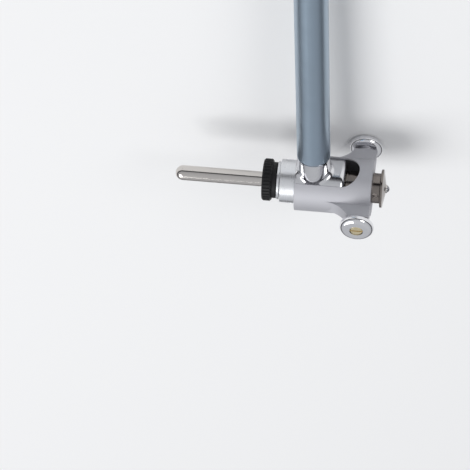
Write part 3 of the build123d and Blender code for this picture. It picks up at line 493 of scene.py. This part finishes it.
def coil(radius, wire, length, turns, place):
    """A round-wire spring along Z, in mm, carried to its place."""
    bpy.ops.object.select_all(action="DESELECT")
    bpy.ops.mesh.primitive_circle_add(vertices=WIRE_SIDES, radius=wire)
    spring = bpy.context.object
    spring.data.transform(Matrix.Translation((radius, 0, 0)) @ UPRIGHT)
    winding = spring.modifiers.new("wind", "SCREW")
    winding.axis, winding.iterations, winding.screw_offset = "Z", turns, length / turns
    winding.steps = winding.render_steps = STEPS_A_TURN
    bpy.ops.object.modifier_apply(modifier="wind")
    bpy.ops.object.mode_set(mode="EDIT")
    bpy.ops.mesh.select_all(action="SELECT")
    bpy.ops.mesh.remove_doubles(threshold=0.001)
    bpy.ops.mesh.fill_holes(sides=WIRE_SIDES)
    bpy.ops.mesh.select_all(action="SELECT")
    bpy.ops.mesh.normals_make_consistent(inside=False)
    bpy.ops.object.mode_set(mode="OBJECT")
    spring.data.transform(place)
    return spring


def spring_set(coils, name, body, node):
    """Joins the coils of one set into one piece, puts it on its body and hides the solid spring."""
    bpy.ops.object.select_all(action="DESELECT")
    for spring in coils:
        spring.select_set(True)
    bpy.context.view_layer.objects.active = coils[0]
    if len(coils) > 1:
        bpy.ops.object.join()
    wound = settle(bpy.context.object, name, on_table @ Matrix.Scale(MM, 4),
                   drawn_wire, body)
    only(wound)
    bpy.ops.object.shade_smooth_by_angle(angle=SMOOTH_UNDER)
    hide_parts(node)
    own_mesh(wound)
    print(name, "faces:", len(wound.data.polygons))


# Lengths and places are in mm, and a length is measured between the middles of the end wires. A
# spring's foot is where its first wire has its middle.
BRIDGE_FOOT, BRIDGE_SIDE, BRIDGE_LOW = 3.25, 4.015, -5.734
bridge_feet = [Matrix.Translation((BRIDGE_FOOT, side * BRIDGE_SIDE, BRIDGE_LOW)) @ ONTO_X
               for side in (-1, 1)]
rod_foot = Matrix.Translation((0, 0, 199.3))
spindle_foot = Matrix.Translation((0, 0, 305.0))
bridge_pair = [coil(radius=1.3, wire=0.2, length=13.4, turns=6, place=foot) for foot in bridge_feet]
rod_single = coil(radius=2.6, wire=0.25, length=15.4, turns=5, place=rod_foot)
spindle_single = coil(radius=3.0, wire=0.25, length=18.7, turns=5, place=spindle_foot)

spring_set(bridge_pair, "bridge_coils", "gauge", "bridge_springs")
spring_set([rod_single], "rod_coil", "gauge", "rod_spring")
spring_set([spindle_single], "spindle_coil", "indicator", "spindle_spring")

# %% [markdown]
# ## The silver border of the display
# The window sits in a bright pressed border. It is a rectangle with rounded corners,
# inset once and opened in the middle, raised a little, with its upper edges softened so that they
# catch a line of light. The dark outline of the display's cell inside it is made the same way.

# %% Model a border
def border(width, height, wide, raised, corner, soften):
    """A flat frame: width and height outside, wide across its band. All in mm."""
    bpy.ops.object.select_all(action="DESELECT")
    bpy.ops.mesh.primitive_plane_add(size=1.0, location=(0, 0, 0))
    frame_piece = bpy.context.object
    frame_piece.data.transform(Matrix.Diagonal((width, height, 1.0, 1.0)))
    bpy.ops.object.mode_set(mode="EDIT")
    bpy.ops.mesh.select_all(action="SELECT")
    bpy.ops.mesh.bevel(affect="VERTICES", offset=corner, segments=5)
    bpy.ops.mesh.select_all(action="SELECT")
    bpy.ops.mesh.inset(thickness=wide)
    bpy.ops.mesh.delete(type="FACE")
    bpy.ops.mesh.select_all(action="SELECT")
    bpy.ops.mesh.extrude_region_move(TRANSFORM_OT_translate={"value": (0, 0, raised)})
    bpy.ops.mesh.select_all(action="SELECT")
    bpy.ops.mesh.normals_make_consistent(inside=False)
    bpy.ops.object.mode_set(mode="OBJECT")
    if soften:
        rounding = frame_piece.modifiers.new("soften", "BEVEL")
        rounding.width, rounding.segments, rounding.limit_method = soften, 2, "ANGLE"
        bpy.ops.object.modifier_apply(modifier="soften")
    return frame_piece


silver = metal("border_silver", (0.60, 0.61, 0.60), 0.34, (2.0, 2.0, 2.0), shine=0.8)
outline = Finish("cell_outline", (0.10, 0.11, 0.09), 0.5)
DISPLAY_MIDDLE = Matrix.Translation((0, -0.4, 0))
silver_border = border(43.6, 22.0, wide=1.25, raised=0.22, corner=1.6, soften=0.09)
dark_line = border(39.4, 17.8, wide=0.16, raised=0.03, corner=0.8, soften=0)
settle(silver_border, "display_border", dial_sheet(FACE) @ DISPLAY_MIDDLE,
       silver, "indicator")
settle(dark_line, "cell_line", dial_sheet(FILM) @ DISPLAY_MIDDLE,
       outline, "indicator")

# %% [markdown]
# ## Seven-segment figures
# Every figure is made of the same seven bars. One bar is modelled, a hexagon stretched along its
# length, and copied to the places that a figure lights. The figures lean a little, as on most
# displays, and the first one and the point are inked darker than the noughts, as painted shade.

# %% One bar of a figure
FIGURE_WIDE, FIGURE_HIGH = 3.8, 12.4    # between the middles of the outer bars, in mm
BAR = 1.05                              # a bar's width
INK_THICK = 0.05
FIGURE_LEAN = 0.06                      # how far a figure leans for each mm that it rises
half_wide, half_high, quarter_high = FIGURE_WIDE / 2, FIGURE_HIGH / 2, FIGURE_HIGH / 4
BAR_PLACES = {  # the middle of each bar, and whether it stands upright
    "top": (0, half_high, False), "middle": (0, 0, False), "bottom": (0, -half_high, False),
    "upper right": (half_wide, quarter_high, True), "lower right": (half_wide, -quarter_high, True),
    "upper left": (-half_wide, quarter_high, True), "lower left": (-half_wide, -quarter_high, True),
}
LIT = {"7": ["top", "upper right", "lower right"],
       "0": [place for place in BAR_PLACES if place != "middle"]}


def bar(length):
    """A flat bar along X with pointed ends."""
    bpy.ops.object.select_all(action="DESELECT")
    bpy.ops.mesh.primitive_circle_add(vertices=6, radius=BAR / 2, fill_type="NGON")
    made = bpy.context.object
    made.data.transform(Matrix.Rotation(math.radians(30), 4, "Z"))
    for vertex in made.data.vertices:
        vertex.co.x += math.copysign((length - BAR) / 2, vertex.co.x)
    bpy.ops.object.mode_set(mode="EDIT")
    bpy.ops.mesh.select_all(action="SELECT")
    bpy.ops.mesh.extrude_region_move(TRANSFORM_OT_translate={"value": (0, 0, INK_THICK)})
    bpy.ops.object.mode_set(mode="OBJECT")
    return made

# %% [markdown]
# ## The reading
# A figure's bars are joined, sheared by its lean and carried onto the film. The point is a short
# cylinder. The gauge is shown at seven millimetres, with three noughts after the point.

# %% Set the figures
ink = Finish("display_ink", (0.055, 0.060, 0.052), 0.5)
# The seven and the point get a darker ink than the noughts: painted shade at the display's left.
ink_in_painted_shade = Finish("display_ink_painted_shade", (0.008, 0.009, 0.008), 0.5)
GAP_BETWEEN = 0.25                      # what a bar is short of its neighbours, in mm
FIGURE_LEVEL = -0.5
POINT_R = 0.62


def figure(character, name, middle, shade):
    """Lights a figure's bars and joins them into one piece."""
    bars = []
    for place in LIT[character]:
        x, y, upright = BAR_PLACES[place]
        made = bar((FIGURE_HIGH / 2 if upright else FIGURE_WIDE) - GAP_BETWEEN)
        turn = Matrix.Rotation(math.radians(90 if upright else 0), 4, "Z")
        made.data.transform(Matrix.Translation((x, y, 0)) @ turn)
        bars.append(made)
    bpy.ops.object.select_all(action="DESELECT")
    for made in bars:
        made.select_set(True)
    bpy.context.view_layer.objects.active = bars[0]
    bpy.ops.object.join()
    lean = Matrix.Identity(4)
    lean[0][1] = FIGURE_LEAN
    onto_film = dial_sheet(FILM) @ Matrix.Translation((*middle, 0)) @ lean
    settle(bpy.context.object, name, onto_film, shade, "indicator")


for character, name, x, shade in (("7", "figure_seven", -6.7, ink_in_painted_shade),
                                  ("0", "figure_zero_a", -1.2, ink),
                                  ("0", "figure_zero_b", 4.6, ink),
                                  ("0", "figure_zero_c", 10.4, ink)):
    figure(character, name, (x, FIGURE_LEVEL), shade)

bpy.ops.object.select_all(action="DESELECT")
bpy.ops.mesh.primitive_cylinder_add(vertices=16, radius=POINT_R, depth=INK_THICK,
                                    location=(-4.0, -6.5, INK_THICK / 2))
settle(bpy.context.object, "decimal_point", dial_sheet(FILM), ink_in_painted_shade, "indicator")
print("figures set:", "7.000")

# %% [markdown]
# ## Print on the plate and on the buttons
# Lettering is a text object. It is made a mesh and given the thickness of a coat of ink.
# The range and the step stand in small violet-grey print over the display. The buttons are
# marked in white, and each word rides on its own button, so that it goes in when that is pressed.

# %% Letter the dial
INK_COAT = 0.02                         # mm, on each side of the sheet
PRINT_HIGH, MARK_HIGH, WORD_HIGH = 2.3, 2.0, 2.9
PRINT_LEVEL = 12.9


def word(text, name, size, middle, front, finish, body):
    """Letters of that size, in mm, with their middle at a place on the dial."""
    bpy.ops.object.select_all(action="DESELECT")
    bpy.ops.object.text_add(location=(0, 0, 0))
    letters = bpy.context.object
    letters.data.body = text
    letters.data.size = size
    letters.data.extrude = INK_COAT
    letters.data.align_x, letters.data.align_y = "CENTER", "CENTER"
    place = dial_sheet(front) @ Matrix.Translation((*middle, 0))
    settle(letters, name, place, finish, body)


print_ink = Finish("violet_print", (0.33, 0.29, 0.40), 0.6)
white_ink = Finish("white_print", (0.80, 0.80, 0.80), 0.55)
word("0-12.7 mm", "print_range", PRINT_HIGH, (-12.6, PRINT_LEVEL), FACE, print_ink,
     "indicator")
word("0.001 mm", "print_step", PRINT_HIGH, (13.2, PRINT_LEVEL), FACE, print_ink,
     "indicator")
word("mm", "unit_mark", MARK_HIGH, (16.6, 0.0), FILM, ink, "indicator")
for text, name, x, y, body in (("inch", "word_inch", -11.2, -16.9, "unit_button"),
                               ("/mm", "word_mm", -9.4, -19.5, "unit_button"),
                               ("OFF", "word_off", 0.0, -18.0, "power_button"),
                               ("/ON", "word_on", 0.0, -21.2, "power_button"),
                               ("ZERO", "word_zero", 10.0, -18.3, "zero_button")):
    word(text, name, WORD_HIGH, (x, y), BUTTON_FACE, white_ink, body)
